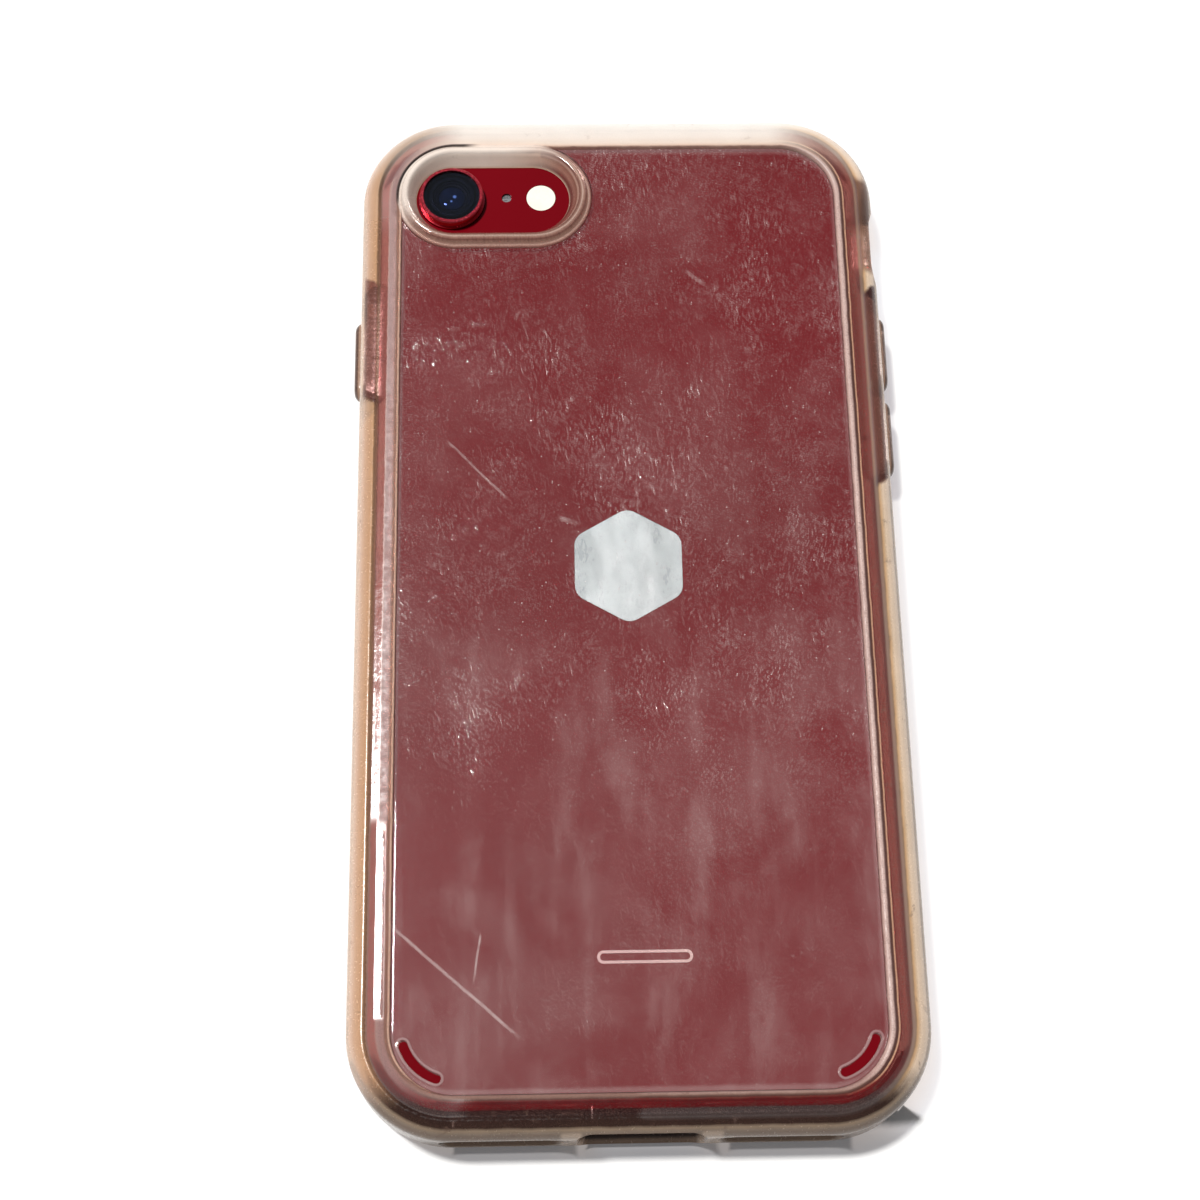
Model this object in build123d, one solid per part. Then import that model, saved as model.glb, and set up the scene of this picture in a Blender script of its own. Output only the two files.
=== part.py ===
from build123d import *
import os
from math import cos, sin, radians, atan, degrees

# ---------------------------------------------------------------- driving dimensions (mm)
# Frame: X across the case, Y towards the camera end, Z up out of the back. z = 0 is the plane the front lip rests on.
CASE_W, CASE_L = 72.6, 143.9      # soft frame, outside
CASE_R = 13.2                     # plan corner radius, outside
RIM_Z = 10.2                      # top of the ridge round the back panel
TOP_FILLET, BOTTOM_FILLET = 3.0, 2.2
WALL_IN_X, WALL_IN_Y, WALL_IN_R = 33.75, 69.35, 10.1   # vertical inner wall, half sizes
LIP_TOP = 2.4                     # where the lip ends and the wall begins
LIP_OPEN_X, LIP_OPEN_Y, LIP_OPEN_R = 32.0, 67.6, 8.4   # display window, half sizes

PHONE_W, PHONE_L, PHONE_R = 67.3, 138.4, 10.0
PHONE_Z0, PHONE_Z1 = 1.35, 8.65
PHONE_FILLET = 3.2
GLASS_F, GLASS_B = 2.35, 7.85     # planes that split display glass, band and back glass
MID_Z = (PHONE_Z0 + PHONE_Z1) / 2

PANEL_X, PANEL_Y, PANEL_R = 31.0, 67.2, 7.0            # visible part of the hard panel, half sizes
PANEL_Z0, PANEL_Z1 = 8.75, 9.75
TONGUE = 1.2                      # how far the panel's tongue reaches under the ridge
TONGUE_TOP = 9.15
SEAM = 0.05

CAM_X, CAM_Y = -23.67, 58.9       # camera axis
RING_X, RING_Y = -17.6, 58.9      # guard ring centre
RING_W, RING_H = 26.6, 15.6       # guard ring, outside
RING_TOP = 11.0
RING_IN_X = -17.83
RING_IN_W, RING_IN_H = 21.86, 10.6
RING_FLARE = 34.0                 # slope of the inside of the guard ring, degrees from vertical

VENT_CX, VENT_CY, VENT_R, VENT_W = 22.8, -58.35, 6.65, 1.15
VENT_FROM, VENT_TO = 199.0, 251.0 # arc of the left vent, degrees

POCKET_X = 34.9                   # inner face of the thin wall behind the button covers
COVER_OUT = 37.2
COVER_H = 3.4
COVERS = {"side_button_cover": (-1, 35.08, 12.0), "volume_up_cover": (1, 35.55, 11.5), "volume_down_cover": (1, 22.45, 11.5)}
PHONE_BTN = {"side_button": (-1, 35.08, 10.4), "volume_up_button": (1, 35.55, 9.8), "volume_down_button": (1, 22.45, 9.8)}
BTN_OUT = 34.1
SW_Y = 50.9                       # ring/silent switch

PORT_HALF = 7.35                  # charging port notch, half width
SLOT_IN, SLOT_OUT = 9.75, 24.7    # speaker and microphone notches


def rr(w, l, r, z0, z1):
    return Pos(0, 0, z0) * extrude(RectangleRounded(w, l, r), z1 - z0)


def box(x0, x1, y0, y1, z0, z1):
    return Pos((x0 + x1) / 2, (y0 + y1) / 2, (z0 + z1) / 2) * Box(x1 - x0, y1 - y0, z1 - z0)


def cyl(x, y, z0, z1, r):
    return Pos(x, y, (z0 + z1) / 2) * Cylinder(r, z1 - z0)


def stadium(x, y, w, h, z0, z1):
    return Pos(x, y, z0) * extrude(RectangleRounded(w, h, h / 2 - 0.001), z1 - z0)


def side_pill(x0, x1, y, z, l, h, r=None):
    # a pill along Y, extruded along X
    r = h / 2 - 0.001 if r is None else r
    return Pos(x0, y, z) * (Plane(origin=(0, 0, 0), x_dir=(0, 1, 0), z_dir=(1, 0, 0)) * extrude(RectangleRounded(l, h, r), x1 - x0))


def end_pill(y0, y1, x, z, l, h, r=None):
    # a pill along X, extruded along +Y from y0 to y1
    r = h / 2 - 0.001 if r is None else r
    return Pos(x, y0, z) * (Plane(origin=(0, 0, 0), x_dir=(-1, 0, 0), z_dir=(0, 1, 0)) * extrude(RectangleRounded(l, h, r), y1 - y0))


def top_edges(s, z, tol=1e-3):
    return [e for e in s.edges() if abs(e.bounding_box().min.Z - z) < tol and abs(e.bounding_box().max.Z - z) < tol]


def rounded_slab(w, l, r, z0, z1, f0, f1):
    s = rr(w, l, r, z0, z1)
    if f1:
        s = fillet(top_edges(s, z1), f1)
    if f0:
        s = fillet(top_edges(s, z0), f0)
    return s


nodes = {}

# ---------------------------------------------------------------- phone
phone = rounded_slab(PHONE_W, PHONE_L, PHONE_R, PHONE_Z0, PHONE_Z1, PHONE_FILLET, PHONE_FILLET)
phone_clear = rounded_slab(PHONE_W + 0.12, PHONE_L + 0.12, PHONE_R + 0.06, PHONE_Z0 - 0.06, PHONE_Z1 + 0.06, PHONE_FILLET + 0.06, PHONE_FILLET + 0.06)

glass_front = phone & box(-50, 50, -90, 90, 0, GLASS_F)
band = phone & box(-50, 50, -90, 90, GLASS_F, GLASS_B)
glass_back = phone & box(-50, 50, -90, 90, GLASS_B, 12)

CAV_X, CAV_Y, CAV_R = 31.0, 66.6, 7.6
PLATE_Z = 7.0
band -= rr(2 * CAV_X, 2 * CAV_Y, CAV_R, GLASS_F - 0.5, PLATE_Z)
# holes in the mid plate for the camera, the flash and the microphone
band -= cyl(CAM_X, CAM_Y, PLATE_Z - 1, GLASS_B + 1, 4.72)
band -= cyl(-11.0, 59.3, PLATE_Z - 1, GLASS_B + 1, 1.7)
band -= cyl(-15.9, 59.34, PLATE_Z - 1, GLASS_B + 1, 0.6)
# button slots in the band
for name, (s, y, l) in PHONE_BTN.items():
    x0, x1 = (30.5, 34.5) if s > 0 else (-34.5, -30.5)
    band -= side_pill(x0, x1, y, MID_Z, l + 0.1, 2.3)
band -= side_pill(32.2, 34.5, SW_Y, MID_Z, 5.9, 3.3, 0.5)
band -= side_pill(30.5, 34.5, SW_Y, MID_Z, 2.6, 3.3, 0.4)
# SIM tray slot
SIM_Y = -2.0
band -= side_pill(-34.5, -30.5, SIM_Y, MID_Z, 15.4, 3.0)
# charging port, speaker and microphone holes, screw holes in the bottom of the band
band -= end_pill(-70, -66, 0, MID_Z, 8.1, 2.9)
SPK = [12.0 + 2.2 * i for i in range(6)]
for x in SPK:
    for s in (-1, 1):
        band -= Pos(s * x, -68, MID_Z) * Rot(90, 0, 0) * Cylinder(0.75, 4)
for s in (-1, 1):
    band -= Pos(s * 6.6, -68, MID_Z) * Rot(90, 0, 0) * Cylinder(0.82, 4)
# antenna band grooves: two across each end of the metal band
ant = None
for y in (-62.6, 62.6):
    for s in (-1, 1):
        x0, x1 = sorted((s * 32.9, s * 34.5))
        b = box(x0, x1, y - 0.55, y + 0.55, GLASS_F, GLASS_B)
        ant = b if ant is None else ant + b
band_full = phone & box(-50, 50, -90, 90, GLASS_F, GLASS_B)
antenna = ant & band_full
band -= ant
nodes["phone_frame"] = band
nodes["antenna_bands"] = antenna

# back glass with openings, and shallow seats for the emblem and the mark
EMB_X, EMB_Y = 0.1, 2.6
EMB_SEAT = 0.06
hexa = fillet(Polygon(*[(8.3 * cos(radians(60 * k + 30)) , 8.3 * sin(radians(60 * k + 30))) for k in range(6)], align=None).vertices(), 2.2)
hexa_in = fillet(Polygon(*[(8.26 * cos(radians(60 * k + 30)) , 8.26 * sin(radians(60 * k + 30))) for k in range(6)], align=None).vertices(), 2.16)
MARK_X, MARK_Y = 0.9, -49.9
glass_back -= cyl(CAM_X, CAM_Y, 7, 12, 4.75)
glass_back -= cyl(-11.0, 59.3, 7, 12, 2.1)
glass_back -= cyl(-15.9, 59.34, 7, 12, 0.7)
glass_back -= Pos(EMB_X, EMB_Y, PHONE_Z1 - EMB_SEAT) * extrude(hexa, 1)
mark_out = RectangleRounded(12.0, 1.7, 0.84)
mark_in = RectangleRounded(11.2, 0.9, 0.44)
glass_back -= Pos(MARK_X, MARK_Y, PHONE_Z1 - EMB_SEAT) * (extrude(mark_out, 1) - extrude(mark_in, 1))
nodes["back_glass"] = glass_back
nodes["back_emblem"] = Pos(EMB_X, EMB_Y, PHONE_Z1 - EMB_SEAT) * extrude(hexa_in, EMB_SEAT)
nodes["back_mark"] = Pos(MARK_X, MARK_Y, PHONE_Z1 - EMB_SEAT) * (extrude(RectangleRounded(11.96, 1.66, 0.82), EMB_SEAT) - extrude(RectangleRounded(11.24, 0.94, 0.46), EMB_SEAT))

# display glass with the home button and earpiece openings
HOME_Y = -61.0
glass_front -= cyl(0, HOME_Y, 0, 3, 5.55)
glass_front -= Pos(0, 61.6, 0) * extrude(RectangleRounded(10.4, 1.4, 0.69), 3)
glass_front -= cyl(-8.6, 61.6, 0, 3, 1.25)
nodes["display_glass"] = glass_front
nodes["home_button_ring"] = cyl(0, HOME_Y, PHONE_Z0 + 0.05, GLASS_F - 0.05, 5.5) - cyl(0, HOME_Y, 0, 3, 4.95)
nodes["home_button"] = cyl(0, HOME_Y, PHONE_Z0 + 0.15, GLASS_F, 4.9)
nodes["earpiece_mesh"] = Pos(0, 61.6, PHONE_Z0 + 0.3) * extrude(RectangleRounded(10.3, 1.3, 0.64), 0.5)
nodes["front_camera"] = cyl(-8.6, 61.6, PHONE_Z0 + 0.25, GLASS_F + 1.4, 1.2)
nodes["display_module"] = Pos(0, 0, GLASS_F + 0.02) * extrude(RectangleRounded(60.0, 112.0, 2.0), 1.1)

# camera: trim ring, cover lens, module with its barrel
trim = cyl(CAM_X, CAM_Y, 7.05, 9.0, 4.68) + cyl(CAM_X, CAM_Y, 8.9, 10.3, 4.48)
trim = chamfer(top_edges(trim, 10.3), 0.12)
trim -= cyl(CAM_X, CAM_Y, 7, 10.06, 4.16)
trim -= cyl(CAM_X, CAM_Y, 7, 11, 4.0)
nodes["camera_trim_ring"] = trim
nodes["camera_lens_cover"] = cyl(CAM_X, CAM_Y, 9.66, 10.04, 4.13)
module = box(CAM_X - 4.4, CAM_X + 4.4, CAM_Y - 4.4, CAM_Y + 4.4, 3.9, 6.95) + cyl(CAM_X, CAM_Y, 6.9, 9.6, 3.6)
barrel_cut = Pos(CAM_X, CAM_Y, 9.6 - 0.9) * Cone(1.15, 2.75, 1.8 + 0.001)
module -= barrel_cut
module -= cyl(CAM_X, CAM_Y, 7.0, 8.0, 1.15)
nodes["camera_module"] = module
nodes["flash_lens"] = cyl(-11.0, 59.3, GLASS_B + 0.02, PHONE_Z1 - 0.02, 2.05)
nodes["rear_microphone"] = cyl(-15.9, 59.34, GLASS_B + 0.02, PHONE_Z1 - 0.3, 0.66)

# ports and fixings at the bottom end
port = end_pill(-69.15, -62.5, 0, MID_Z, 8.0, 2.8) - end_pill(-69.5, -63.0, 0, MID_Z, 7.2, 2.0)
nodes["charging_port_shell"] = port
screws = None
for s in (-1, 1):
    sc = Pos(s * 6.6, -67.7, MID_Z) * Rot(90, 0, 0) * Cylinder(0.78, 2.2)
    sc -= Pos(s * 6.6, -68.8, MID_Z) * Rot(90, 0, 0) * Cylinder(0.34, 0.8)
    screws = sc if screws is None else screws + sc
nodes["bottom_screws"] = screws
mesh = None
for s in (-1, 1):
    m = box(*sorted((s * 11.0, s * 24.2)), -66.55, -66.25, MID_Z - 1.1, MID_Z + 1.1)
    mesh = m if mesh is None else mesh + m
nodes["speaker_mesh"] = mesh
sim = side_pill(-33.62, -31.3, SIM_Y, MID_Z, 15.3, 2.9) + box(-31.4, -21.0, SIM_Y - 6.8, SIM_Y + 6.8, MID_Z - 0.5, MID_Z + 0.5)
sim -= Pos(-33.4, SIM_Y - 6.4, MID_Z) * Rot(0, 90, 0) * Cylinder(0.4, 2)
nodes["sim_tray"] = sim & phone

# sealed inside the phone
nodes["battery"] = box(-5.5, 29.5, -38.0, 50.0, 3.75, 6.75)
nodes["logic_board"] = (box(-28.6, -7.5, 10.5, 53.0, 5.9, 6.7) + box(-20.6, -7.5, -30.0, 10.5, 5.9, 6.7)) + box(-26.0, -10.0, 14.0, 40.0, 4.6, 5.9) + box(-19.0, -9.0, -22.0, -2.0, 4.8, 5.9)
nodes["haptic_motor"] = box(-28.0, -9.5, -60.5, -50.0, 3.9, 6.7)
nodes["speaker_module"] = box(8.5, 29.0, -60.5, -42.0, 3.9, 6.7)

# phone buttons: a pill standing out of the band, with a flange inside it
for name, (s, y, l) in PHONE_BTN.items():
    b = side_pill(31.2, BTN_OUT, y, MID_Z, l, 2.2)
    b = fillet([e for e in b.edges() if e.bounding_box().min.X > BTN_OUT - 1e-3], 0.2)
    b = b + side_pill(30.45, 30.95, y, MID_Z, l + 1.4, 3.2) + side_pill(30.9, 31.3, y, MID_Z, l, 2.2)
    if s < 0:
        b = mirror(b, Plane.YZ)
    nodes[name] = b
# ring/silent switch: a lever in a recessed slot, at the low end of its travel
SW_H = 1.35
sw = side_pill(32.3, 34.0, SW_Y, MID_Z - 0.75, 5.5, SW_H, 0.45)
sw = sw + side_pill(30.6, 32.4, SW_Y, MID_Z - 0.75, 1.9, 1.1, 0.3)
nodes["ring_silent_switch"] = sw

# ---------------------------------------------------------------- case: soft frame
outer = rounded_slab(CASE_W, CASE_L, CASE_R, 0, RIM_Z, BOTTOM_FILLET, TOP_FILLET)
frame = outer & box(-50, 50, -90, 90, LIP_TOP, 20)
# the inside is straight below the phone's widest line, so that the case lifts off, and hugs its rounded back edge above it
frame -= rr(2 * WALL_IN_X, 2 * WALL_IN_Y, WALL_IN_R, 0, PHONE_Z1 - PHONE_FILLET)
frame -= rounded_slab(2 * WALL_IN_X, 2 * WALL_IN_Y, WALL_IN_R, PHONE_Z0 - 0.1, PHONE_Z1 + 0.1, PHONE_FILLET + 0.1, PHONE_FILLET + 0.1)
# region at the camera corner where the soft material takes the place of the panel
corner = stadium(RING_X, RING_Y, RING_W + 0.2, RING_H + 0.2, 5, 20) + box(-40, RING_X - 5.0, 56.4, 75, 5, 20) + box(-40, -11.4, 60.0, 75, 5, 20)
corner_tight = stadium(RING_X, RING_Y, RING_W + 0.3, RING_H + 0.3, 5, 20) + box(-40, RING_X - 4.9, 56.3, 75, 5, 20) + box(-40, -11.3, 59.9, 75, 5, 20)
# seat for the panel: a wide low groove for its tongue and the window above it
seat = rr(2 * (PANEL_X + TONGUE + SEAM), 2 * (PANEL_Y + TONGUE + SEAM), PANEL_R + TONGUE, 5, TONGUE_TOP + SEAM)
window = Pos(0, 0, 8) * extrude(RectangleRounded(2 * (PANEL_X + SEAM), 2 * (PANEL_Y + SEAM), PANEL_R + SEAM), 1.75)
bevel = Pos(0, 0, 9.75) * extrude(RectangleRounded(2 * (PANEL_X + SEAM), 2 * (PANEL_Y + SEAM), PANEL_R + SEAM), 0.5, taper=-40)
cut = seat + window + bevel
frame -= (cut - corner)
# corner web, flush with the panel, and the camera guard ring on it
web = (rr(2 * (PANEL_X + 0.6), 2 * (PANEL_Y + 0.6), PANEL_R + 0.6, PANEL_Z0, PANEL_Z1) & corner)
frame = frame - (rr(2 * (PANEL_X + SEAM), 2 * (PANEL_Y + SEAM), PANEL_R + SEAM, PANEL_Z1, 20) & corner) + web
ring = stadium(RING_X, RING_Y, RING_W, RING_H, PANEL_Z0, RING_TOP)
ring = fillet(top_edges(ring, RING_TOP), 0.7)
frame = frame + ring
flare = Pos(RING_IN_X, RING_Y, PANEL_Z0 - 0.3) * extrude(RectangleRounded(RING_IN_W - 0.4, RING_IN_H - 0.4, RING_IN_H / 2 - 0.21), 2.9, taper=-RING_FLARE)
frame -= flare
# button pockets: the wall is thin from the inside round the buttons
frame -= box(-POCKET_X, -32.0, 27.3, 45.8, 0, 8.0)
frame -= box(32.0, POCKET_X, 14.9, 44.0, 0, 8.0)
# windows for the button covers
for name, (s, y, l) in COVERS.items():
    x0, x1 = (34.0, 40.0) if s > 0 else (-40.0, -34.0)
    frame -= side_pill(x0, x1, y, MID_Z, l, COVER_H)
# switch cut-out: a through window with a flared scoop outside, and a channel below it that clears the lever
frame -= side_pill(33.0, 40.0, SW_Y, MID_Z + 0.1, 8.4, 4.4, 1.6)
scoop = loft([Pos(34.7, SW_Y, 5.3) * (Plane(origin=(0, 0, 0), x_dir=(0, 1, 0), z_dir=(1, 0, 0)) * RectangleRounded(8.6, 4.8, 1.7)),
              Pos(36.8, SW_Y, 5.5) * (Plane(origin=(0, 0, 0), x_dir=(0, 1, 0), z_dir=(1, 0, 0)) * RectangleRounded(12.4, 6.4, 2.4))])
frame -= scoop
frame -= box(33.0, 34.3, SW_Y - 3.2, SW_Y + 3.2, 0, 5.0)
# charging port notch and the two sound notches in the bottom wall
notch = end_pill(-80, -66.0, 0, 5.2, 2 * PORT_HALF, 6.6, 1.6)
notch = notch + box(-PORT_HALF, PORT_HALF, -80, -66.0, 1.9, 5.2)
frame -= notch & box(-50, 50, -90, 0, LIP_TOP - 1, 20)
for s in (-1, 1):
    xc = s * (SLOT_IN + SLOT_OUT) / 2
    frame -= end_pill(-80, -68.5, xc, 5.0, SLOT_OUT - SLOT_IN, 4.4, 2.0)
nodes["bumper_frame"] = frame

# front lip: the same wall curling over the front edge of the phone
lip = outer & box(-50, 50, -90, 90, 0, LIP_TOP)
lip -= phone_clear
lip -= rr(2 * LIP_OPEN_X, 2 * LIP_OPEN_Y, LIP_OPEN_R, -1, 6)
nodes["front_lip"] = lip

# ---------------------------------------------------------------- case: hard back panel
panel = rr(2 * (PANEL_X + TONGUE), 2 * (PANEL_Y + TONGUE), PANEL_R + TONGUE - SEAM, PANEL_Z0, TONGUE_TOP)
plate = rr(2 * PANEL_X, 2 * PANEL_Y, PANEL_R, PANEL_Z0, PANEL_Z1)
plate = fillet(top_edges(plate, PANEL_Z1), 0.18)
panel = panel + plate
panel -= corner_tight
for s in (-1, 1):
    a0, span = (VENT_FROM, VENT_TO - VENT_FROM) if s < 0 else (540 - VENT_TO, VENT_TO - VENT_FROM)
    arc = CenterArc((s * VENT_CX, VENT_CY), VENT_R, a0, span)
    panel -= Pos(0, 0, 5) * extrude(SlotArc(arc, VENT_W), 8)
nodes["back_panel"] = panel

# ---------------------------------------------------------------- case: button covers
for name, (s, y, l) in COVERS.items():
    c = side_pill(POCKET_X - 0.1, COVER_OUT, y, MID_Z, l - 0.16, COVER_H - 0.16)
    c = fillet([e for e in c.edges() if e.bounding_box().min.X > COVER_OUT - 1e-3], 0.55)
    c = c + side_pill(34.15, POCKET_X - 0.05, y, MID_Z, l + 0.6, COVER_H + 0.9, 1.4)
    if s < 0:
        c = mirror(c, Plane.YZ)
    nodes[name] = c

os.makedirs("parts", exist_ok=True)
for name, shape in nodes.items():
    export_step(shape, "parts/" + name + ".step")
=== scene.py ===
# Translucent phone case on its phone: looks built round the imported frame.
import bpy, bmesh, math
from mathutils import Vector, Matrix


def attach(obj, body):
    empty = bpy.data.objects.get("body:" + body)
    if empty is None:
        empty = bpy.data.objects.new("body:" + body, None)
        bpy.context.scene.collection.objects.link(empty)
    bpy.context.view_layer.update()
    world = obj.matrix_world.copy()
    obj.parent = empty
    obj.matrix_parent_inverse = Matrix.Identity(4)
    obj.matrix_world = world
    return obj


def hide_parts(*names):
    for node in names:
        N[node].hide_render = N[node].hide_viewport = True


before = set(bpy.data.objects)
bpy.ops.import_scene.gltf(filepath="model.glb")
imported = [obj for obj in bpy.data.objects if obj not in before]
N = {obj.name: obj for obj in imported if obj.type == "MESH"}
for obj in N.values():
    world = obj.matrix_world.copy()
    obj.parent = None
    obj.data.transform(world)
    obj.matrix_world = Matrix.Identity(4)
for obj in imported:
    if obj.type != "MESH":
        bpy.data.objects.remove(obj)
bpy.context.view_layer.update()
MM = 0.001
scene = bpy.context.scene

# ------------------------------------------------------------------ camera, light, floor
cam = bpy.data.cameras.new("camera")
cam_o = bpy.data.objects.new("camera", cam)
scene.collection.objects.link(cam_o)
cam.sensor_width = 36.0
cam.lens = 64.702
cam.clip_start, cam.clip_end = 0.01, 20
R = Matrix(((0.9995876, 0.0110097, -0.0265226), (-0.0197378, 0.9342522, -0.3560664), (0.0208586, 0.3564430, 0.9340842)))
M = R.to_4x4()
M.translation = Vector((-11.3703, -104.0059, 275.7955)) * MM
cam_o.matrix_world = M
scene.camera = cam_o
scene.view_settings.view_transform = "Standard"

sun = bpy.data.lights.new("key", "SUN")
sun.energy = 3.7
sun.angle = math.radians(6.5)
sun.color = (1.0, 0.985, 0.965)
sun_o = bpy.data.objects.new("key", sun)
scene.collection.objects.link(sun_o)
sun_o.rotation_mode = "QUATERNION"
sun_o.rotation_quaternion = Vector((-0.306, 0.215, 0.926)).to_track_quat("Z", "Y")

world = bpy.data.worlds.new("room")
scene.world = world
world.use_nodes = True
wn = world.node_tree
bg = wn.nodes["Background"]
bg.inputs["Color"].default_value = (0.92, 0.96, 1.0, 1)
bg.inputs["Strength"].default_value = 0.17
scene.cycles.caustics_refractive = False
scene.cycles.caustics_reflective = False


# ------------------------------------------------------------------ small node helpers
def mat(name):
    m = bpy.data.materials.new(name)
    m.use_nodes = True
    nt = m.node_tree
    nt.nodes.clear()
    out = nt.nodes.new("ShaderNodeOutputMaterial")
    b = nt.nodes.new("ShaderNodeBsdfPrincipled")
    nt.links.new(b.outputs[0], out.inputs["Surface"])
    return m, nt, b, out


def coords(nt, scale=(1, 1, 1), rot=(0, 0, 0)):
    tc = nt.nodes.new("ShaderNodeTexCoord")
    mp = nt.nodes.new("ShaderNodeMapping")
    mp.inputs["Scale"].default_value = scale
    mp.inputs["Rotation"].default_value = rot
    nt.links.new(tc.outputs["Object"], mp.inputs["Vector"])
    return mp.outputs["Vector"]


def noise(nt, vec, scale, detail=4, rough=0.55, dist=0.0):
    n = nt.nodes.new("ShaderNodeTexNoise")
    n.inputs["Scale"].default_value = scale
    n.inputs["Detail"].default_value = detail
    n.inputs["Roughness"].default_value = rough
    n.inputs["Distortion"].default_value = dist
    nt.links.new(vec, n.inputs["Vector"])
    return n.outputs["Fac"]


def voronoi(nt, vec, scale, feature="F1", rnd=1.0, flat=False):
    n = nt.nodes.new("ShaderNodeTexVoronoi")
    n.feature = feature
    if flat:
        n.voronoi_dimensions = "2D"
    n.inputs["Scale"].default_value = scale
    n.inputs["Randomness"].default_value = rnd
    nt.links.new(vec, n.inputs["Vector"])
    return n.outputs["Distance"]


def remap(nt, fac, a, b, lo, hi, smooth=True):
    n = nt.nodes.new("ShaderNodeMapRange")
    n.interpolation_type = "SMOOTHSTEP" if smooth else "LINEAR"
    n.inputs["From Min"].default_value = a
    n.inputs["From Max"].default_value = b
    n.inputs["To Min"].default_value = lo
    n.inputs["To Max"].default_value = hi
    nt.links.new(fac, n.inputs["Value"])
    return n.outputs["Result"]


def math_(nt, op, a, b=None, clamp=False):
    n = nt.nodes.new("ShaderNodeMath")
    n.operation = op
    n.use_clamp = clamp
    for i, v in enumerate((a, b)):
        if v is None:
            continue
        if isinstance(v, (int, float)):
            n.inputs[i].default_value = v
        else:
            nt.links.new(v, n.inputs[i])
    return n.outputs[0]


def mixc(nt, fac, a, b):
    n = nt.nodes.new("ShaderNodeMix")
    n.data_type = "RGBA"
    if isinstance(fac, (int, float)):
        n.inputs["Factor"].default_value = fac
    else:
        nt.links.new(fac, n.inputs["Factor"])
    for k, v in (("A", a), ("B", b)):
        s = [i for i in n.inputs if i.name == k and i.type == "RGBA"][0]
        if isinstance(v, tuple):
            s.default_value = (*v, 1) if len(v) == 3 else v
        else:
            nt.links.new(v, s)
    return [o for o in n.outputs if o.type == "RGBA"][0]


def bump(nt, b, height, strength, dist=0.0001, prev=None):
    n = nt.nodes.new("ShaderNodeBump")
    n.inputs["Strength"].default_value = strength
    n.inputs["Distance"].default_value = dist
    nt.links.new(height, n.inputs["Height"])
    if prev is not None:
        nt.links.new(prev, n.inputs["Normal"])
    if b is not None:
        nt.links.new(n.outputs["Normal"], b.inputs["Normal"])
    return n.outputs["Normal"]


def hairs(nt, warp, angle, scale, stretch, radius, seed, grid=None):
    # short separate scratches: Voronoi dots drawn out along one direction
    mp = nt.nodes.new("ShaderNodeMapping")
    mp.vector_type = "TEXTURE"
    mp.inputs["Location"].default_value = (seed, seed * 0.37, 0)
    mp.inputs["Rotation"].default_value = (0, 0, angle)
    mp.inputs["Scale"].default_value = (1, stretch, 1)
    nt.links.new(warp, mp.inputs["Vector"])
    d = voronoi(nt, mp.outputs["Vector"], scale, flat=True)
    return remap(nt, d, radius * 0.35, radius, 1.0, 0.0)


def sdf(nt, x, y, hx, hy, r, cx=0.0, cy=0.0):
    # distance in from a rounded rectangle's edge, mm
    qx = math_(nt, "SUBTRACT", math_(nt, "ABSOLUTE", math_(nt, "SUBTRACT", x, cx)), hx - r)
    qy = math_(nt, "SUBTRACT", math_(nt, "ABSOLUTE", math_(nt, "SUBTRACT", y, cy)), hy - r)
    mx, my = math_(nt, "MAXIMUM", qx, 0.0), math_(nt, "MAXIMUM", qy, 0.0)
    ln = math_(nt, "SQRT", math_(nt, "ADD", math_(nt, "MULTIPLY", mx, mx), math_(nt, "MULTIPLY", my, my)))
    ins = math_(nt, "MINIMUM", math_(nt, "MAXIMUM", qx, qy), 0.0)
    return math_(nt, "SUBTRACT", r, math_(nt, "ADD", ln, ins))


def ramp(nt, fac, stops, span, lo=0.0):
    # stops: (mm, (r, g, b), clear share); returns colour and clear share
    n = nt.nodes.new("ShaderNodeValToRGB")
    cr = n.color_ramp
    cr.interpolation = "LINEAR"
    while len(cr.elements) < len(stops):
        cr.elements.new(0.5)
    for e, (d, c, t) in zip(cr.elements, stops):
        e.position = (d - lo) / span
    for e, (d, c, t) in zip(cr.elements, stops):
        e.color = (*c, t)
    f = math_(nt, "DIVIDE", math_(nt, "SUBTRACT", fac, lo), span, clamp=True)
    nt.links.new(f, n.inputs["Fac"])
    return n.outputs["Color"], n.outputs["Alpha"]


def mixf(nt, fac, a, b):
    n = nt.nodes.new("ShaderNodeMix")
    n.data_type = "FLOAT"
    for k, v in ((0, fac), (2, a), (3, b)):
        if isinstance(v, (int, float)):
            n.inputs[k].default_value = v
        else:
            nt.links.new(v, n.inputs[k])
    return n.outputs[0]


def blend(nt, m, a, b):
    return mixc(nt, m, a[0], b[0]), mixf(nt, m, a[1], b[1])


def lets_lamps_through(nt, b, out, tint):
    # lamps reach what lies behind the clear plastic
    mix = nt.nodes.new("ShaderNodeMixShader")
    lp = nt.nodes.new("ShaderNodeLightPath")
    tr = nt.nodes.new("ShaderNodeBsdfTransparent")
    if isinstance(tint, tuple):
        tr.inputs["Color"].default_value = (*tint, 1)
    else:
        nt.links.new(tint, tr.inputs["Color"])
    nt.links.new(lp.outputs["Is Shadow Ray"], mix.inputs[0])
    nt.links.new(b.outputs[0], mix.inputs[1])
    nt.links.new(tr.outputs[0], mix.inputs[2])
    nt.links.new(mix.outputs[0], out.inputs["Surface"])


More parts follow.
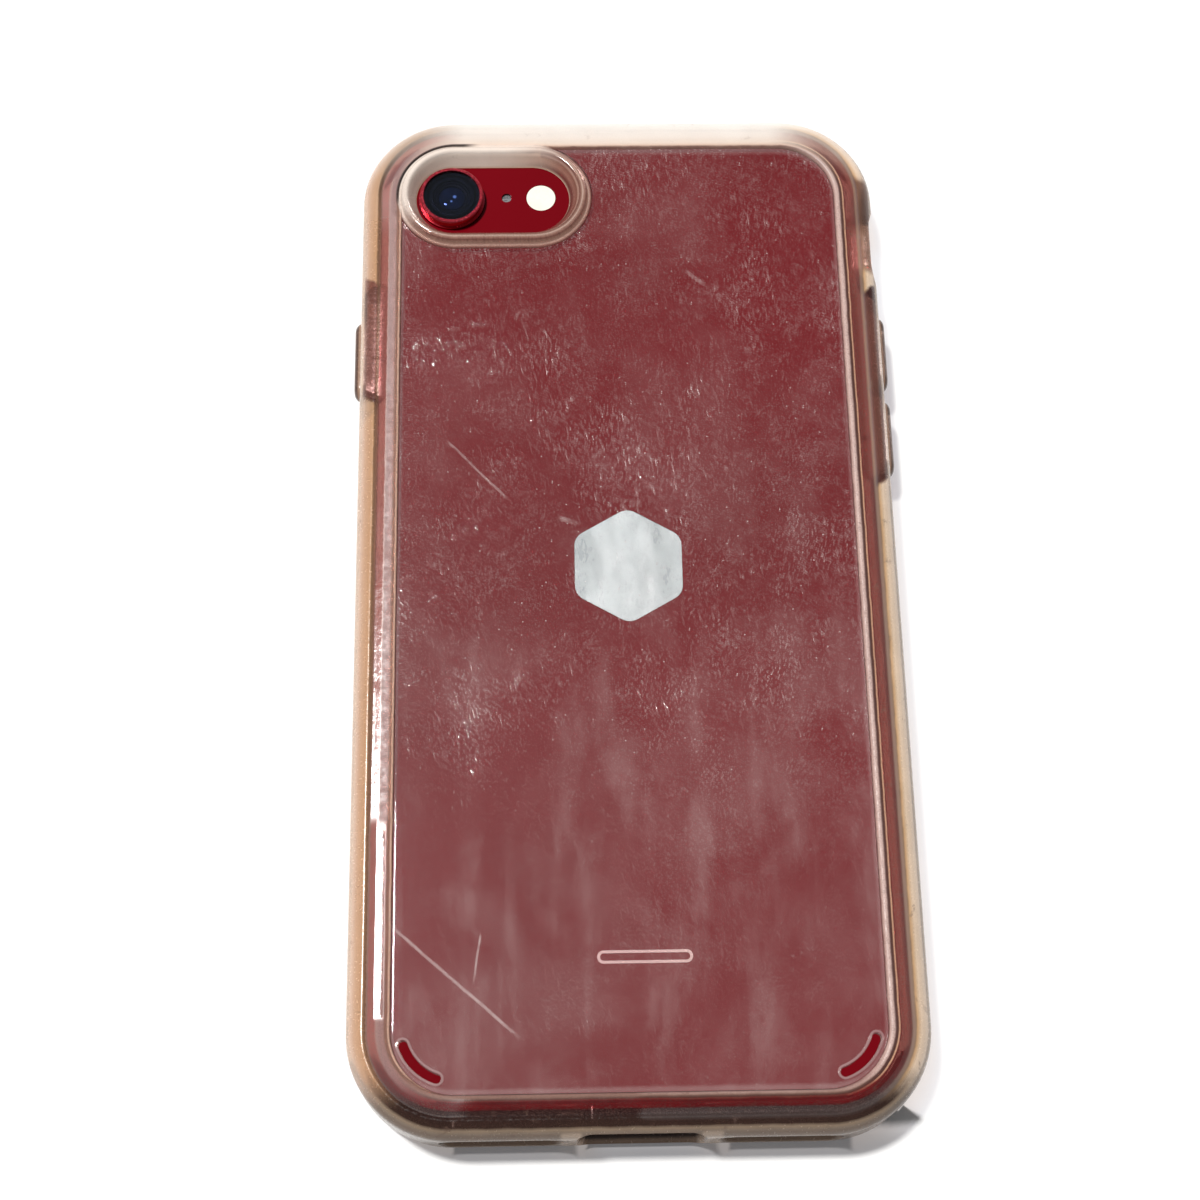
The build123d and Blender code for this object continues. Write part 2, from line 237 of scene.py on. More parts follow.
# ------------------------------------------------------------------ materials
def mm_xyz(nt, wobble=None):
    tc = nt.nodes.new("ShaderNodeTexCoord")
    mp = nt.nodes.new("ShaderNodeMapping")
    mp.inputs["Scale"].default_value = (1000, 1000, 1000)
    nt.links.new(tc.outputs["Object"], mp.inputs["Vector"])
    sp = nt.nodes.new("ShaderNodeSeparateXYZ")
    nt.links.new(mp.outputs["Vector"], sp.inputs[0])
    return sp.outputs


# colour of the soft plastic across its section, from the outer wall in: (mm, colour, clear share); besides the
# plastic's own yellowed tint these carry painted light and shade, noted below
# painted shade: the dark line in the valley between the wall and the ridge (about 2.3 to 2.9 mm)
LEFT = [(0.0, (0.80, 0.66, 0.60), 0.54), (0.5, (0.78, 0.61, 0.51), 0.54), (1.3, (0.66, 0.45, 0.31), 0.58), (2.15, (0.54, 0.32, 0.17), 0.60), (2.36, (0.16, 0.09, 0.05), 0.60), (2.75, (0.14, 0.06, 0.045), 0.70), (2.95, (0.36, 0.07, 0.07), 0.86),
        (3.7, (0.40, 0.08, 0.08), 0.86), (4.0, (0.46, 0.28, 0.27), 0.70), (4.8, (0.46, 0.27, 0.24), 0.70), (5.0, (0.30, 0.15, 0.10), 0.70), (5.25, (0.34, 0.17, 0.12), 0.70), (5.38, (0.95, 0.66, 0.50), 0.35), (5.52, (0.95, 0.62, 0.48), 0.35), (5.62, (0.10, 0.03, 0.025), 0.60)]
# painted light: the pale tan of the right wall (0.7 to 1.6 mm) lies in the phone's shadow and stands in for light
# carried into the wall; painted highlight: the pale strip beside the panel (4.95 to 5.5 mm); painted shade: the dark
# valley line
RIGHT = [(0.0, (0.66, 0.50, 0.50), 0.50), (0.4, (0.80, 0.62, 0.55), 0.48), (0.7, (1.0, 0.80, 0.64), 0.30), (1.6, (1.0, 0.77, 0.57), 0.30), (2.1, (0.80, 0.50, 0.26), 0.45), (2.3, (0.26, 0.14, 0.07), 0.55), (2.7, (0.24, 0.10, 0.06), 0.62), (2.9, (0.28, 0.035, 0.035), 0.85),
         (4.2, (0.28, 0.035, 0.035), 0.85), (4.30, (0.78, 0.48, 0.31), 0.50), (4.40, (0.78, 0.48, 0.31), 0.50), (4.50, (0.10, 0.04, 0.03), 0.65), (4.75, (0.16, 0.07, 0.06), 0.70), (4.95, (0.76, 0.56, 0.50), 0.50), (5.5, (0.74, 0.52, 0.46), 0.50), (5.65, (0.18, 0.05, 0.05), 0.60)]
# painted light: the top wall's cream, paler than the sides where it faces the key light
TOP = [(0.0, (0.97, 0.94, 0.90), 0.20), (1.6, (0.95, 0.91, 0.86), 0.22), (2.6, (0.93, 0.87, 0.81), 0.26), (3.6, (0.91, 0.83, 0.76), 0.28), (4.5, (0.86, 0.74, 0.64), 0.32), (4.95, (0.78, 0.58, 0.46), 0.42), (5.12, (0.16, 0.07, 0.06), 0.55), (5.3, (0.12, 0.04, 0.04), 0.60)]
# port end: brown of dirt with painted shade; the near-black band (1.35 to 3.3 mm) is painted shade over the dark inside
END = [(0.0, (0.34, 0.25, 0.19), 0.55), (0.7, (0.40, 0.30, 0.22), 0.50), (1.0, (0.46, 0.34, 0.24), 0.45), (1.35, (0.055, 0.028, 0.020), 0.42), (2.6, (0.030, 0.011, 0.009), 0.46), (3.3, (0.035, 0.008, 0.008), 0.55), (3.55, (0.30, 0.006, 0.011), 0.76),
       (4.35, (0.30, 0.006, 0.011), 0.76), (4.6, (0.13, 0.06, 0.045), 0.62), (4.9, (0.38, 0.24, 0.19), 0.52), (5.1, (0.50, 0.32, 0.28), 0.50), (5.3, (0.20, 0.06, 0.05), 0.60)]
GUARD = [(-1.2, (0.50, 0.20, 0.20), 0.90), (-0.4, (0.30, 0.09, 0.09), 0.86), (-0.12, (0.82, 0.58, 0.50), 0.62), (0.10, (0.50, 0.30, 0.26), 0.80), (0.28, (0.14, 0.05, 0.045), 0.78), (0.50, (0.50, 0.30, 0.26), 0.84), (0.80, (0.84, 0.66, 0.57), 0.64), (0.98, (0.40, 0.24, 0.20), 0.82),
         (1.22, (0.20, 0.08, 0.07), 0.80), (1.42, (0.70, 0.48, 0.41), 0.74), (1.62, (0.26, 0.11, 0.09), 0.84), (1.95, (0.44, 0.22, 0.19), 0.86), (2.25, (0.16, 0.04, 0.04), 0.82), (2.6, (0.08, 0.012, 0.014), 0.82)]


def make_tpu(name, tint, cover=False):
    m, nt, b, out = mat(name)
    v = coords(nt)
    x, y, z = mm_xyz(nt)
    cloud = noise(nt, v, 170, 3, 0.6, 0.3)
    fine = noise(nt, v, 2600, 3, 0.65)
    grain = noise(nt, v, 7000, 2, 0.6)
    b.inputs["IOR"].default_value = 1.49
    b.inputs["Specular IOR Level"].default_value = 0.28
    wob = math_(nt, "MULTIPLY", math_(nt, "SUBTRACT", noise(nt, v, 420, 3, 0.6), 0.5), 0.22)
    if cover:
        ax = math_(nt, "ABSOLUTE", x)
        pr = remap(nt, math_(nt, "ADD", ax, math_(nt, "MULTIPLY", wob, 0.4)), 36.55, 36.8, 0.0, 1.0)
        colr = mixc(nt, pr, (0.50, 0.34, 0.25), (0.10, 0.062, 0.050))
        clear = mixf(nt, pr, 0.52, 0.40)
    else:
        d = math_(nt, "ADD", sdf(nt, x, y, 36.3, 71.95, 13.2), wob)
        side = blend(nt, remap(nt, x, -1.0, 1.0, 0.0, 1.0), ramp(nt, d, LEFT, 8.0), ramp(nt, d, RIGHT, 8.0))
        # over the button pockets and round the switch the wall is thin and looks brown
        yy = math_(nt, "ADD", y, math_(nt, "MULTIPLY", wob, 6.0))
        slant = math_(nt, "MULTIPLY", d, 0.9)
        right_ = remap(nt, x, 10.0, 20.0, 0.0, 1.0)
        thin_l = math_(nt, "MULTIPLY", remap(nt, math_(nt, "ABSOLUTE", math_(nt, "SUBTRACT", math_(nt, "ADD", yy, slant), 37.6)), 8.8, 9.6, 1.0, 0.0), remap(nt, x, -20.0, -10.0, 1.0, 0.0))
        thin_r = math_(nt, "MULTIPLY", remap(nt, math_(nt, "ABSOLUTE", math_(nt, "SUBTRACT", math_(nt, "ADD", yy, slant), 30.2)), 14.4, 15.2, 1.0, 0.0), right_)
        thin_s = math_(nt, "MULTIPLY", remap(nt, math_(nt, "ABSOLUTE", math_(nt, "SUBTRACT", yy, 54.0)), 6.6, 8.2, 1.0, 0.0), right_)
        thin = math_(nt, "MAXIMUM", thin_l, math_(nt, "MAXIMUM", thin_r, math_(nt, "MULTIPLY", thin_s, 0.85)))
        thin = math_(nt, "MULTIPLY", thin, remap(nt, d, 2.3, 2.6, 1.0, 0.0))
        side = blend(nt, thin, side, (mixc(nt, remap(nt, d, 0.3, 1.5, 0.0, 1.0), (0.28, 0.16, 0.14), (0.13, 0.040, 0.036)), 0.74))
        # towards the camera end the wall is painted paler, as painted light where it faces the key light; at the port
        # end it is painted dark, partly dirt and partly painted shade where the phone keeps the light off
        painted_light_top_mask = math_(nt, "MULTIPLY", remap(nt, math_(nt, "ADD", y, math_(nt, "MULTIPLY", wob, 14.0)), 60.0, 68.0, 0.0, 1.0), remap(nt, math_(nt, "ABSOLUTE", x), 21.0, 30.0, 1.0, 0.35))
        crown = blend(nt, painted_light_top_mask, side, ramp(nt, d, TOP, 8.0))
        dirt_and_shade_end_mask = remap(nt, math_(nt, "ADD", y, math_(nt, "MULTIPLY", wob, 10.0)), -68.4, -63.5, 1.0, 0.0)
        crown = blend(nt, dirt_and_shade_end_mask, crown, ramp(nt, d, END, 8.0))
        ringd = sdf(nt, x, y, 13.3, 7.8, 7.799, -17.6, 58.9)
        gc = ramp(nt, math_(nt, "ADD", ringd, math_(nt, "MULTIPLY", wob, 0.5)), GUARD, 4.0, -1.2)
        # painted light: the ring is painted paler cream towards the top-left, the side facing the key light
        painted_lit_corner = remap(nt, math_(nt, "SUBTRACT", y, math_(nt, "MULTIPLY", x, 0.55)), 67.0, 75.0, 0.0, 1.0)
        painted_lit_corner = math_(nt, "MULTIPLY", painted_lit_corner, 0.85)
        gc = blend(nt, painted_lit_corner, gc, ((1.0, 0.92, 0.83), 0.20))
        # painted shade: a dark line painted where the ring meets the wall at the corner, for the shade in the groove
        # between them
        painted_crease_shade = math_(nt, "MULTIPLY", remap(nt, math_(nt, "ABSOLUTE", math_(nt, "ADD", ringd, 0.42)), 0.12, 0.3, 1.0, 0.0), remap(nt, math_(nt, "SUBTRACT", y, math_(nt, "MULTIPLY", x, 0.9)), 84.5, 87.0, 0.0, 1.0))
        gm = math_(nt, "MULTIPLY", remap(nt, ringd, -0.55, -0.3, 0.0, 1.0), remap(nt, z, 8.7, 8.76, 0.0, 1.0))
        crown = blend(nt, gm, crown, gc)
        crown = blend(nt, painted_crease_shade, crown, ((0.02, 0.012, 0.01), 0.25))
        # below the shoulder: plain wall, paler away from the port end; at the port end brown, and near-black further in
        # from the outer face, as painted shade inside the port and slot openings
        painted_inner_shade = remap(nt, d, 0.5, 1.1, 0.0, 1.0)
        wc = mixc(nt, dirt_and_shade_end_mask, (0.90, 0.70, 0.55), mixc(nt, painted_inner_shade, (0.30, 0.21, 0.15), (0.025, 0.014, 0.011)))
        # painted highlight: the pillars between the port and the slots are painted back to a lighter tan where they
        # catch the light
        painted_pillar_highlight = remap(nt, math_(nt, "ABSOLUTE", math_(nt, "SUBTRACT", math_(nt, "ABSOLUTE", x), 8.6)), 0.9, 1.6, 1.0, 0.0)
        painted_pillar_highlight = math_(nt, "MULTIPLY", painted_pillar_highlight, remap(nt, d, 1.2, 2.0, 1.0, 0.0))
        wc = mixc(nt, math_(nt, "MULTIPLY", painted_pillar_highlight, dirt_and_shade_end_mask), wc, (0.66, 0.50, 0.38))
        wt = mixf(nt, dirt_and_shade_end_mask, 0.60, 0.50)
        zm = remap(nt, z, 8.72, 9.2, 0.0, 1.0)
        colr, clear = mixc(nt, zm, wc, crown[0]), mixf(nt, zm, wt, crown[1])
    grime = remap(nt, noise(nt, v, 430, 5, 0.7, 0.5), 0.60, 0.74, 0.0, 0.65)
    if not cover:
        grime = math_(nt, "MULTIPLY", grime, remap(nt, y, 56.0, 66.0, 1.0, 0.25))
    colr = mixc(nt, grime, colr, (0.20, 0.12, 0.09))
    spk = remap(nt, grain, 0.46, 0.66, 0.0, 0.5 if not cover else 0.3)
    if not cover:
        spk = math_(nt, "MULTIPLY", spk, mixf(nt, remap(nt, y, 55.0, 64.0, 0.0, 1.0), remap(nt, d, 2.2, 3.0, 0.3, 1.0), 0.1))
    colr = mixc(nt, spk, colr, (0.22, 0.12, 0.10))
    nt.links.new(colr, b.inputs["Base Color"])
    nt.links.new(math_(nt, "SUBTRACT", clear, remap(nt, cloud, 0.35, 0.75, 0.0, 0.08), clamp=True), b.inputs["Transmission Weight"])
    rgh = remap(nt, fine, 0.3, 0.75, 0.10, 0.30)
    if not cover:
        # the ridge is worn matt, apart from one polished stretch beside the port end
        leftm = remap(nt, x, -20.0, -25.0, 0.0, 1.0)
        pol = math_(nt, "MULTIPLY", math_(nt, "MULTIPLY", remap(nt, y, -57.8, -57.0, 0.0, 1.0), remap(nt, y, -33.5, -31.0, 1.0, 0.0)), leftm)
        band = math_(nt, "MULTIPLY", remap(nt, d, 3.5, 3.7, 0.0, 1.0), remap(nt, d, 4.7, 4.95, 1.0, 0.0))
        low_ = remap(nt, y, -31.0, -33.5, 0.0, 1.0)
        crest = math_(nt, "MULTIPLY", remap(nt, math_(nt, "SUBTRACT", d, remap(nt, x, -1.0, 1.0, 0.0, 0.55)), 2.5, 2.9, 0.0, 1.0), zm)
        worn = remap(nt, noise(nt, v, 900, 4, 0.7), 0.35, 0.65, 0.34, 0.56)
        # away from the highlight the ridge is smooth and shows what is under it
        calm = math_(nt, "MAXIMUM", remap(nt, d, 3.75, 4.0, 1.0, 0.0), math_(nt, "MULTIPLY", remap(nt, x, -1.0, 1.0, 0.0, 1.0), remap(nt, d, 4.9, 5.1, 1.0, 0.0)))
        worn = mixf(nt, calm, worn, mixf(nt, remap(nt, y, 50.0, 60.0, 0.0, 1.0), mixf(nt, remap(nt, x, -1.0, 1.0, 0.0, 1.0), 0.12, 0.30), 0.4))
        worn = mixf(nt, remap(nt, y, 56.0, 64.0, 0.0, 1.0), worn, 0.4)
        worn = mixf(nt, math_(nt, "MULTIPLY", low_, leftm), worn, mixf(nt, math_(nt, "MULTIPLY", pol, band), 0.70, 0.05))
        worn = mixf(nt, remap(nt, y, -64.5, -61.5, 1.0, 0.0), worn, mixf(nt, leftm, 0.16, 0.7))
        rgh = mixf(nt, math_(nt, "MULTIPLY", remap(nt, y, 50.0, 60.0, 0.0, 1.0), zm), rgh, 0.4)
        rgh = mixf(nt, crest, rgh, worn)
        sh_r = math_(nt, "MULTIPLY", math_(nt, "MULTIPLY", remap(nt, d, 1.7, 2.0, 0.0, 1.0), remap(nt, d, 3.2, 3.5, 1.0, 0.0)), math_(nt, "MULTIPLY", remap(nt, x, -1.0, 1.0, 0.0, 1.0), zm))
        rgh = mixf(nt, sh_r, rgh, 0.55)
        rgh = mixf(nt, gm, rgh, remap(nt, fine, 0.3, 0.75, 0.06, 0.20))
    nt.links.new(rgh, b.inputs["Roughness"])
    n1 = bump(nt, None, cloud, 0.5, 0.00014)
    n2 = bump(nt, None, fine, 0.35, 0.00003, n1)
    bump(nt, b, grain, 0.30, 0.000012, n2)
    va = nt.nodes.new("ShaderNodeVolumeAbsorption")
    va.inputs["Color"].default_value = (0.70, 0.46, 0.24, 1)
    va.inputs["Density"].default_value = 40.0
    nt.links.new(va.outputs[0], out.inputs["Volume"])
    if not cover:
        # thicker and dirtier towards the port end, so it lets less light through there
        tint = mixc(nt, remap(nt, y, -66.0, -71.0, 0.0, 1.0), tint, (0.46, 0.46, 0.475))
    lets_lamps_through(nt, b, out, tint)
    return m


def make_panel():
    m, nt, b, out = mat("clear_scratched_plastic")
    v = coords(nt)
    x, y, z = mm_xyz(nt)
    b.inputs["IOR"].default_value = 1.57
    # bent a little, so that no scratch is quite straight
    wn_ = nt.nodes.new("ShaderNodeTexNoise")
    wn_.inputs["Scale"].default_value = 95
    wn_.inputs["Detail"].default_value = 2
    nt.links.new(v, wn_.inputs["Vector"])
    vm = nt.nodes.new("ShaderNodeVectorMath")
    vm.operation = "MULTIPLY_ADD"
    vm.inputs[1].default_value = (0.0010, 0.0010, 0)
    nt.links.new(wn_.outputs["Color"], vm.inputs[0])
    nt.links.new(v, vm.inputs[2])
    warp = vm.outputs[0]
    n_a = noise(nt, v, 75, 4, 0.62, 0.4)
    n_b = noise(nt, coords(nt, (1, 1, 1), (0, 0, 0.9)), 120, 4, 0.62, 0.6)
    lines = None
    for k, (ang, sc, st, rad) in enumerate(((0.25, 1700, 26, 0.062), (-0.62, 2000, 22, 0.062), (1.05, 1900, 22, 0.066), (-1.25, 1800, 24, 0.062), (0.80, 2400, 16, 0.075), (1.52, 1500, 34, 0.060), (0.95, 2300, 18, 0.072))):
        h = hairs(nt, warp, ang, sc, st, rad, 0.013 * k + 0.004)
        keep = remap(nt, (n_a, n_b)[k % 2], 0.42, 0.66, 0.12, 1.0) if k != 5 else remap(nt, n_b, 0.5, 0.6, 0.0, 0.6)
        h = math_(nt, "MULTIPLY", h, math_(nt, "MULTIPLY", keep, 1.0 if k in (0, 4, 6) else 0.55))
        lines = h if lines is None else math_(nt, "MAXIMUM", lines, h)
    specks = remap(nt, voronoi(nt, v, 1700, flat=True), 0.08, 0.19, 1.0, 0.0)
    specks = math_(nt, "MULTIPLY", specks, math_(nt, "ADD", remap(nt, noise(nt, v, 420, 3, 0.7), 0.46, 0.66, 0.0, 0.7), remap(nt, n_a, 0.50, 0.68, 0.0, 0.6)))
    big_specks = remap(nt, voronoi(nt, v, 420, flat=True), 0.018, 0.048, 1.0, 0.0)
    big_specks = math_(nt, "MULTIPLY", big_specks, remap(nt, noise(nt, v, 650, 1), 0.52, 0.66, 0.0, 1.0))
    # one long diagonal scratch, a shorter upright one, and a scuff
    extra = None
    for x0, y0, x1, y1, w in ((-32.0, -44.6, -14.4, -60.2, 0.10), (-19.6, -46.5, -20.6, -53.5, 0.07), (-24.4, 21.0, -15.2, 11.5, 0.05), (-9.5, 9.5, -6.0, 8.3, 0.10), (9.0, 47.0, 12.5, 44.0, 0.08)):
        ln = math.hypot(x1 - x0, y1 - y0)
        ux, uy = (x1 - x0) / ln, (y1 - y0) / ln
        dx, dy = math_(nt, "SUBTRACT", x, x0), math_(nt, "SUBTRACT", y, y0)
        al = math_(nt, "ADD", math_(nt, "MULTIPLY", dx, ux), math_(nt, "MULTIPLY", dy, uy))
        ac = math_(nt, "ABSOLUTE", math_(nt, "ADD", math_(nt, "SUBTRACT", math_(nt, "MULTIPLY", dy, ux), math_(nt, "MULTIPLY", dx, uy)), math_(nt, "MULTIPLY", math_(nt, "SUBTRACT", n_a, 0.5), 0.9)))
        e = math_(nt, "MULTIPLY", remap(nt, ac, w, w * 2.6, 1.0, 0.0), math_(nt, "MULTIPLY", remap(nt, al, 0.0, 1.0, 0.0, 1.0), remap(nt, al, ln - 3.0, ln, 1.0, 0.0)))
        extra = e if extra is None else math_(nt, "MAXIMUM", extra, e)
    lines = math_(nt, "MULTIPLY", lines, remap(nt, y, -40.0, -5.0, 0.30, 1.0))
    dust = math_(nt, "MULTIPLY", remap(nt, noise(nt, v, 5600, 2, 0.6), 0.60, 0.70, 0.0, 1.0), math_(nt, "MAXIMUM", remap(nt, n_b, 0.47, 0.64, 0.10, 1.0), remap(nt, x, -24.0, -30.0, 0.0, 0.8)))
    dust = math_(nt, "MULTIPLY", dust, remap(nt, y, -30.0, 0.0, 0.3, 1.0))
    fewer = remap(nt, y, -42.0, -12.0, 0.22, 1.0)
    specks = math_(nt, "MULTIPLY", specks, fewer)
    big_specks = math_(nt, "MULTIPLY", big_specks, fewer)
    extra = math_(nt, "MULTIPLY", extra, remap(nt, noise(nt, v, 900, 3, 0.6), 0.30, 0.55, 0.25, 1.0))
    # smears: cloudy patches, brushed lengthways over the lower half; the haze also thickens towards the port end as
    # painted sheen, the key light's scattered reflection off the fine scratches
    smear = noise(nt, coords(nt, (1.0, 0.22, 1)), 210, 4, 0.62, 0.3)
    smear2 = noise(nt, coords(nt, (1.0, 0.8, 1), (0, 0, 0.5)), 62, 5, 0.66, 0.35)
    lower_smear_and_sheen = remap(nt, y, 40.0, -45.0, 0.0, 1.0)
    left_low = math_(nt, "MULTIPLY", lower_smear_and_sheen, remap(nt, x, 36.0, -20.0, 0.6, 1.0))
    base = mixf(nt, lower_smear_and_sheen, 0.001, 0.024)
    cl = mixf(nt, lower_smear_and_sheen, remap(nt, smear2, 0.42, 0.70, 0.0, 0.036), remap(nt, smear2, 0.42, 0.70, 0.0, 0.050))
    br = math_(nt, "MULTIPLY", remap(nt, smear, 0.46, 0.70, 0.0, 0.085), math_(nt, "MULTIPLY", lower_smear_and_sheen, remap(nt, smear2, 0.40, 0.60, 0.2, 1.0)))
    haze = math_(nt, "MULTIPLY", math_(nt, "ADD", math_(nt, "ADD", base, cl), br), 0.42)
    marks = math_(nt, "ADD", math_(nt, "ADD", math_(nt, "MULTIPLY", dust, 0.20), math_(nt, "MULTIPLY", lines, 0.23)), math_(nt, "ADD", math_(nt, "MULTIPLY", specks, 0.22), math_(nt, "ADD", math_(nt, "MULTIPLY", big_specks, 0.50), math_(nt, "MULTIPLY", extra, 0.15))))
    # the raised lips round the vents and the worn edge are painted paler: painted highlight where they catch the light,
    # with wear along the edge
    painted_lip_highlight = remap(nt, z, 9.77, 9.86, 0.0, 0.15)
    edge = remap(nt, math_(nt, "ADD", sdf(nt, x, y, 36.3, 71.95, 13.2), math_(nt, "MULTIPLY", n_b, 0.5)), 5.9, 6.5, 0.05, 0.0)
    veil = math_(nt, "ADD", math_(nt, "ADD", haze, marks), math_(nt, "ADD", painted_lip_highlight, edge), clamp=True)
    veil = math_(nt, "MINIMUM", veil, 0.8)
    # clear and nearly neutral all over, so it carries nothing of what lies under it when it is lifted
    b.inputs["Base Color"].default_value = (1.0, 0.88, 0.86, 1)
    nt.links.new(math_(nt, "SUBTRACT", 1.0, veil, clamp=True), b.inputs["Transmission Weight"])
    nt.links.new(math_(nt, "ADD", remap(nt, smear2, 0.4, 0.8, 0.02, 0.06), math_(nt, "MULTIPLY", lines, 0.1), clamp=True), b.inputs["Roughness"])
    # fine hairline wear spreads the reflected key light
    b.inputs["Coat Weight"].default_value = 0.06
    b.inputs["Coat Roughness"].default_value = 0.34
    b.inputs["Coat IOR"].default_value = 1.5
    n1 = bump(nt, None, lines, 0.25, 0.00002)
    bump(nt, b, specks, 0.3, 0.00003, n1)
    lets_lamps_through(nt, b, out, (1.0, 1.0, 1.0))
    return m


def make_solid(name, col, col2, rough, metal=0.0, coat=0.0, nscale=900, bstr=0.1, rvar=0.08, stretch=(1, 1, 1), coat_rough=0.03):
    m, nt, b, out = mat(name)
    v = coords(nt, stretch)
    n = noise(nt, v, nscale, 5, 0.6)
    big = noise(nt, v, nscale * 0.08, 3, 0.5)
    nt.links.new(mixc(nt, remap(nt, big, 0.35, 0.68, 0.0, 1.0), col, col2), b.inputs["Base Color"])
    nt.links.new(remap(nt, n, 0.3, 0.7, max(rough - rvar, 0.01), rough + rvar), b.inputs["Roughness"])
    b.inputs["Metallic"].default_value = metal
    b.inputs["Coat Weight"].default_value = coat
    b.inputs["Coat Roughness"].default_value = coat_rough
    bump(nt, b, n, bstr, 0.00001)
    return m


def make_red_glass():
    # deep red film under clear glass, with faint wipe marks and dust on it
    m, nt, b, out = mat("red_back_glass")
    v = coords(nt)
    big = noise(nt, v, 22, 3, 0.5)
    nt.links.new(mixc(nt, remap(nt, big, 0.3, 0.7, 0.0, 1.0), (0.150, 0.0012, 0.0045), (0.170, 0.0016, 0.006)), b.inputs["Base Color"])
    n = noise(nt, v, 900, 4, 0.6)
    nt.links.new(remap(nt, n, 0.3, 0.7, 0.03, 0.10), b.inputs["Roughness"])
    b.inputs["IOR"].default_value = 1.5
    b.inputs["Specular IOR Level"].default_value = 0.18
    bump(nt, b, n, 0.05, 0.00001)
    return m


TPU = make_tpu("yellowed_soft_plastic", (0.86, 0.87, 0.90))
TPU_END = make_tpu("yellowed_soft_plastic_port_end", (0.86, 0.87, 0.90))
TPU_COVER = make_tpu("yellowed_button_plastic", (0.80, 0.80, 0.82), cover=True)
TPU_END.node_tree.nodes["Principled BSDF"].inputs["Specular IOR Level"].default_value = 0.16
PANEL = make_panel()
RED = make_red_glass()
# painted shade: the frame and tray get a far darker red than the buttons of the same anodised metal, for the shade they
# sit in inside the case
BAND_SHADED = make_solid("red_anodised_metal_shaded", (0.15, 0.0025, 0.006), (0.19, 0.004, 0.009), 0.30, 0.8, nscale=2500, bstr=0.12)
BAND2 = make_solid("red_anodised_bright", (0.62, 0.045, 0.07), (0.70, 0.07, 0.10), 0.2, 0.9, nscale=3000, bstr=0.1)
BLACKGLASS = make_solid("black_glass", (0.004, 0.004, 0.005), (0.007, 0.007, 0.008), 0.05, 0.0, 1.0, nscale=600, bstr=0.02, rvar=0.02)
BLACK = make_solid("black_plastic", (0.003, 0.003, 0.0035), (0.005, 0.005, 0.006), 0.42, nscale=1500, bstr=0.2)
LENSBLACK = make_solid("lens_black_paint", (0.0012, 0.0014, 0.0022), (0.002, 0.0024, 0.004), 0.5, nscale=1500, bstr=0.05)
LENSBLACK.node_tree.nodes["Principled BSDF"].inputs["Specular IOR Level"].default_value = 0.02
PRINT = make_solid("dull_silver_print", (0.46, 0.30, 0.30), (0.52, 0.36, 0.35), 0.45, 0.0, nscale=1400, bstr=0.05)
STEEL = make_solid("satin_steel", (0.30, 0.30, 0.31), (0.40, 0.40, 0.41), 0.24, 1.0, nscale=2200, bstr=0.15, stretch=(1, 6, 1))
FOIL = make_solid("silver_foil", (0.30, 0.395, 0.42), (0.48, 0.575, 0.60), 0.34, 0.2, nscale=380, bstr=0.06, rvar=0.08, stretch=(1, 0.35, 1))
FLASH = make_solid("flash_diffuser", (0.96, 0.92, 0.80), (0.90, 0.85, 0.70), 0.3, 0.0, 0.4, nscale=2600, bstr=0.3)
ANT = make_solid("antenna_plastic", (0.22, 0.010, 0.02), (0.28, 0.015, 0.028), 0.4, nscale=1800)
BOARD = make_solid("solder_mask", (0.01, 0.09, 0.03), (0.015, 0.12, 0.045), 0.35, nscale=1200)
CELL = make_solid("cell_wrap", (0.012, 0.012, 0.014), (0.02, 0.02, 0.022), 0.45, nscale=700)


def mesh_grille():
    m, nt, b, out = mat("woven_mesh")
    v = coords(nt)
    d = voronoi(nt, v, 5200, "F1", 0.0)
    h = remap(nt, d, 0.25, 0.42, 0.0, 1.0)
    nt.links.new(mixc(nt, h, (0.002, 0.002, 0.002), (0.06, 0.06, 0.065)), b.inputs["Base Color"])
    b.inputs["Metallic"].default_value = 0.6
    nt.links.new(remap(nt, h, 0, 1, 0.7, 0.3), b.inputs["Roughness"])
    bump(nt, b, h, 0.6, 0.00004)
    return m


GRILLE = mesh_grille()


def lens_glass():
    m, nt, b, out = mat("coated_lens_glass")
    v = coords(nt)
    n = noise(nt, v, 700, 3, 0.5)
    b.inputs["IOR"].default_value = 1.45
    b.inputs["Specular IOR Level"].default_value = 0.15
    b.inputs["Transmission Weight"].default_value = 1.0
    nt.links.new(mixc(nt, remap(nt, n, 0.3, 0.7, 0, 1), (0.60, 0.66, 0.85), (0.66, 0.70, 0.90)), b.inputs["Base Color"])
    b.inputs["Roughness"].default_value = 0.0
    lets_lamps_through(nt, b, out, (0.8, 0.85, 1.0))
    return m


